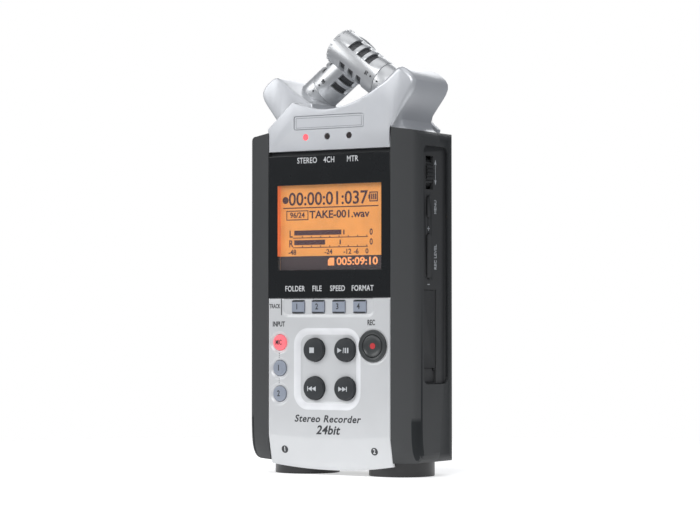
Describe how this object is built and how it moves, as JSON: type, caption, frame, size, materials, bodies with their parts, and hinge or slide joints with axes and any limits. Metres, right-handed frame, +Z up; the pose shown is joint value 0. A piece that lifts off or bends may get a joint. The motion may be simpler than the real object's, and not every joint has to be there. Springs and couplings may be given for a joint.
{
  "type": "portable field recorder",
  "caption": "Handheld stereo field recorder with crossed twisting microphones, amber display, transport and input keys, side dial, card and battery doors and combination input sockets.",
  "frame": {"origin": "middle of the footprint, on the surface that the recorder stands on", "axes": "+Z up the long axis towards the microphones, front face looks along -Y, X is the width"},
  "size_m": [0.0718, 0.035, 0.1561],
  "materials": {
    "shell_charcoal": "soft-touch moulded plastic, fine even texture",
    "cover_gloss_black": "glossy piano-black display cover",
    "window_clear": "clear window over the display",
    "panel_silver": "satin silver paint on plastic",
    "guard_silver": "satin metallic silver paint, rounded edges",
    "inset_black": "fine-textured black plastic",
    "mic_metal": "satin machined aluminium",
    "mic_mesh_dark": "fine woven wire mesh, dark",
    "key_charcoal": "charcoal rubber key with pale printed symbol",
    "key_blue_grey": "translucent blue-grey key",
    "key_lit_red": "translucent key, lit from behind",
    "ring_smoke": "smoked translucent light ring",
    "led_lit": "lit red indicator",
    "led_dark": "unlit indicator",
    "lcd_amber": "backlit amber liquid-crystal display",
    "steel": "plain pressed steel",
    "screw_dark": "black-oxide screw",
    "brass": "threaded brass insert",
    "board_green": "glass-epoxy circuit board with green mask",
    "socket_black": "black moulded socket",
    "cell_wrap": "plain wrapped cell",
    "card_blue": "plain memory card",
    "speaker_dark": "loudspeaker cone and basket"
  },
  "bodies": {
    "recorder": {"front_case": "shell_charcoal", "rear_case": "shell_charcoal", "control_panel": "panel_silver", "display_cover": "cover_gloss_black", "display_window": "window_clear", "side_panel": "inset_black", "mic_guard_front": "guard_silver", "mic_guard_rear": "guard_silver", "badge_plate": "guard_silver", "mode_led_active": "led_lit", "mode_led_idle": "led_dark", "mic_base_right": "mic_metal", "mic_base_left": "mic_metal", "record_ring": "ring_smoke", "battery_tray": "inset_black", "battery_cells": "cell_wrap", "battery_springs": "steel", "battery_contacts": "steel", "main_board": "board_green", "key_board": "board_green", "tact_switches": "steel", "lcd_panel": "lcd_amber", "lcd_frame": "steel", "card_socket": "steel", "memory_card": "card_blue", "combo_jack_left": "socket_black", "combo_jack_right": "socket_black", "speaker": "speaker_dark", "phones_jack": "socket_black", "usb_port": "steel", "dc_jack": "socket_black", "mic_jack": "socket_black", "tripod_insert": "brass", "case_screws": "screw_dark"},
    "microphone_right": {"mic_barrel_right": "mic_metal", "mic_mesh_right": "mic_mesh_dark", "mic_capsule_right": "mic_mesh_dark"},
    "microphone_left": {"mic_barrel_left": "mic_metal", "mic_mesh_left": "mic_mesh_dark", "mic_capsule_left": "mic_mesh_dark"},
    "stop_key": {"stop_button": "key_charcoal"},
    "play_key": {"play_button": "key_charcoal"},
    "rewind_key": {"rewind_button": "key_charcoal"},
    "forward_key": {"forward_button": "key_charcoal"},
    "record_key": {"record_button": "ring_smoke"},
    "mic_input_key": {"mic_input_button": "key_lit_red"},
    "input_1_key": {"input_1_button": "key_blue_grey"},
    "input_2_key": {"input_2_button": "key_blue_grey"},
    "track_key_1": {"track_button_1": "key_blue_grey"},
    "track_key_2": {"track_button_2": "key_blue_grey"},
    "track_key_3": {"track_button_3": "key_blue_grey"},
    "track_key_4": {"track_button_4": "key_blue_grey"},
    "menu_key": {"menu_button": "inset_black"},
    "rec_level_key": {"rec_level_rocker": "inset_black"},
    "volume_key": {"volume_rocker": "inset_black"},
    "dial_slider": {"dial_carriage": "steel"},
    "dial": {"dial_wheel": "inset_black"},
    "card_cover": {"card_door": "inset_black"},
    "power_slider": {"power_switch": "inset_black"},
    "battery_lid": {"battery_cover": "shell_charcoal"}
  },
  "joints": [
    {"name": "stop_press", "type": "slide", "parent": "recorder", "child": "stop_key", "axis": [0, 1, 0], "range_m": [0, 0.0005], "stiffness_N_per_m": 400},
    {"name": "play_press", "type": "slide", "parent": "recorder", "child": "play_key", "axis": [0, 1, 0], "range_m": [0, 0.0005], "stiffness_N_per_m": 400},
    {"name": "rewind_press", "type": "slide", "parent": "recorder", "child": "rewind_key", "axis": [0, 1, 0], "range_m": [0, 0.0005], "stiffness_N_per_m": 400},
    {"name": "forward_press", "type": "slide", "parent": "recorder", "child": "forward_key", "axis": [0, 1, 0], "range_m": [0, 0.0005], "stiffness_N_per_m": 400},
    {"name": "record_press", "type": "slide", "parent": "recorder", "child": "record_key", "axis": [0, 1, 0], "range_m": [0, 0.0005], "stiffness_N_per_m": 400},
    {"name": "mic_input_press", "type": "slide", "parent": "recorder", "child": "mic_input_key", "axis": [0, 1, 0], "range_m": [0, 0.0005], "stiffness_N_per_m": 400},
    {"name": "input_1_press", "type": "slide", "parent": "recorder", "child": "input_1_key", "axis": [0, 1, 0], "range_m": [0, 0.0005], "stiffness_N_per_m": 400},
    {"name": "input_2_press", "type": "slide", "parent": "recorder", "child": "input_2_key", "axis": [0, 1, 0], "range_m": [0, 0.0005], "stiffness_N_per_m": 400},
    {"name": "track_1_press", "type": "slide", "parent": "recorder", "child": "track_key_1", "axis": [0, 1, 0], "range_m": [0, 0.0005], "stiffness_N_per_m": 400},
    {"name": "track_2_press", "type": "slide", "parent": "recorder", "child": "track_key_2", "axis": [0, 1, 0], "range_m": [0, 0.0005], "stiffness_N_per_m": 400},
    {"name": "track_3_press", "type": "slide", "parent": "recorder", "child": "track_key_3", "axis": [0, 1, 0], "range_m": [0, 0.0005], "stiffness_N_per_m": 400},
    {"name": "track_4_press", "type": "slide", "parent": "recorder", "child": "track_key_4", "axis": [0, 1, 0], "range_m": [0, 0.0005], "stiffness_N_per_m": 400},
    {"name": "menu_press", "type": "slide", "parent": "recorder", "child": "menu_key", "axis": [-1, 0, 0], "range_m": [0, 0.0005], "stiffness_N_per_m": 400},
    {"name": "rec_level_rock", "type": "hinge", "parent": "recorder", "child": "rec_level_key", "pos_m": [0.0319, -0.0065, 0.07605], "axis": [0, 1, 0], "range_deg": [-3, 3], "stiffness_Nm_per_rad": 0.02},
    {"name": "volume_rock", "type": "hinge", "parent": "recorder", "child": "volume_key", "pos_m": [-0.0321, -0.0055, 0.08165], "axis": [0, 1, 0], "range_deg": [-3, 3], "stiffness_Nm_per_rad": 0.02},
    {"name": "dial_press", "type": "slide", "parent": "recorder", "child": "dial_slider", "axis": [-1, 0, 0], "range_m": [0, 0.0006], "stiffness_N_per_m": 500},
    {"name": "dial_turn", "type": "hinge", "parent": "dial_slider", "child": "dial", "pos_m": [0.0284, -0.0058, 0.105], "axis": [0, 1, 0], "continuous": true},
    {"name": "card_door_swing", "type": "hinge", "parent": "recorder", "child": "card_cover", "pos_m": [0.0336, -0.0021, 0.05105], "axis": [0, 0, 1], "range_deg": [0, 95]},
    {"name": "power_slide", "type": "slide", "parent": "recorder", "child": "power_slider", "axis": [0, 0, 1], "range_m": [-0.003, 0.003]},
    {"name": "battery_cover_swing", "type": "hinge", "parent": "recorder", "child": "battery_lid", "pos_m": [0, 0.0166, 0.0392], "axis": [-1, 0, 0], "range_deg": [0, 75]},
    {"name": "right_mic_twist", "type": "hinge", "parent": "recorder", "child": "microphone_right", "pos_m": [0.0171, -0.0081, 0.1375], "axis": [0.8715, 0, -0.4904], "range_deg": [0, 180]},
    {"name": "left_mic_twist", "type": "hinge", "parent": "recorder", "child": "microphone_left", "pos_m": [-0.0171, 0.0081, 0.1375], "axis": [-0.8715, 0, -0.4904], "range_deg": [0, 180]}
  ]
}
